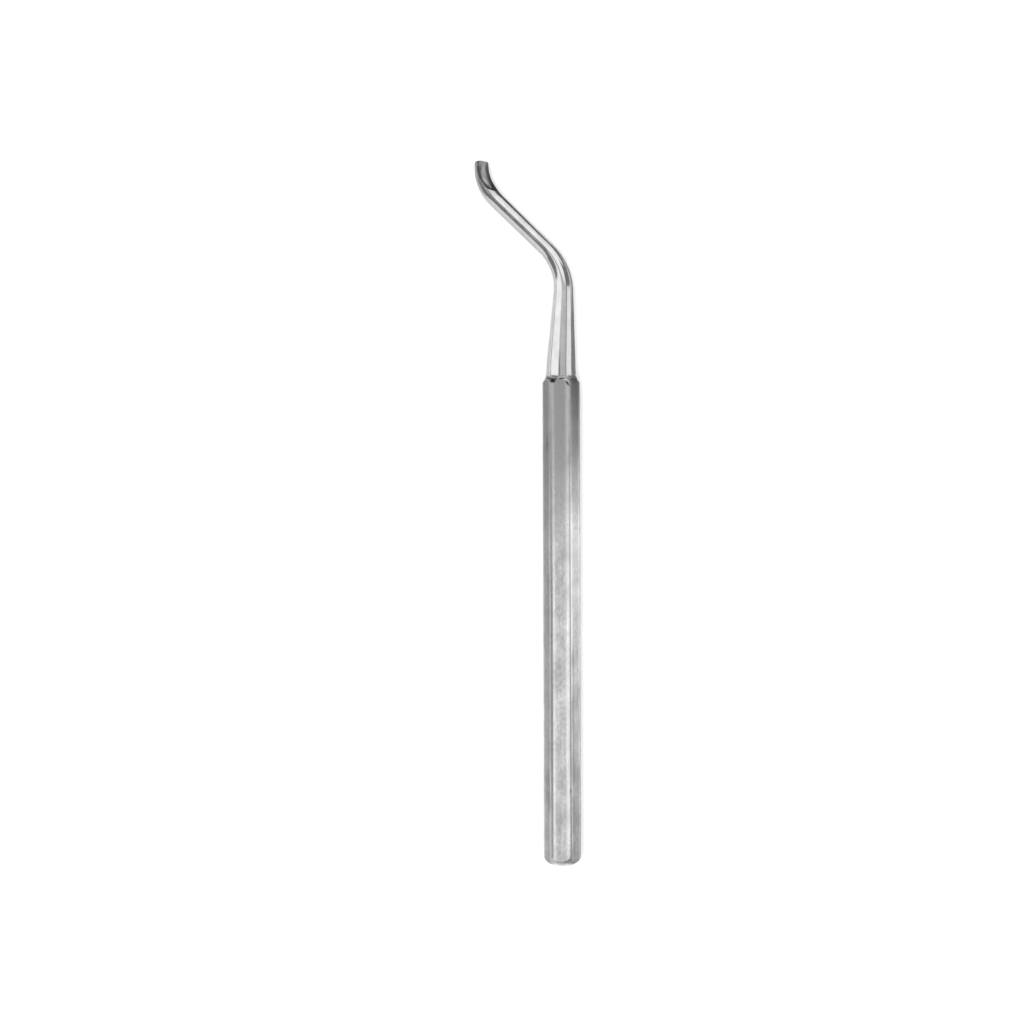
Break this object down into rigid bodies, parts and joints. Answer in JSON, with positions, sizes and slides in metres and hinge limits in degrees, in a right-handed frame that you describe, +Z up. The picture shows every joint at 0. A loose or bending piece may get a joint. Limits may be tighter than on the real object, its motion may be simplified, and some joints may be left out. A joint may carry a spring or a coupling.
{
  "type": "dental elevator",
  "caption": "Left-bent dental root elevator with a hollow-ground gouge blade, tapered round shank and hexagonal steel handle.",
  "frame": {"origin": "middle of the handle's bottom flat, halfway along the handle", "axes": "+Y along the handle from the butt towards the blade, +Z up through the handle's opposite flats, blade bent towards -X"},
  "size_m": [0.0252, 0.17, 0.008],
  "materials": {
    "satin_steel": "satin ground stainless steel, streaked along its length, worn soft at the corners",
    "polished_steel": "bright hand-polished stainless steel with fine rub marks",
    "braze_alloy": "dull silver brazing alloy, grey, pitted and darkened in its pits"
  },
  "bodies": {
    "root": {"handle_tube": "satin_steel", "end_plug": "satin_steel", "working_end": "polished_steel", "front_braze_joint": "braze_alloy", "rear_braze_joint": "braze_alloy"}
  },
  "joints": []
}
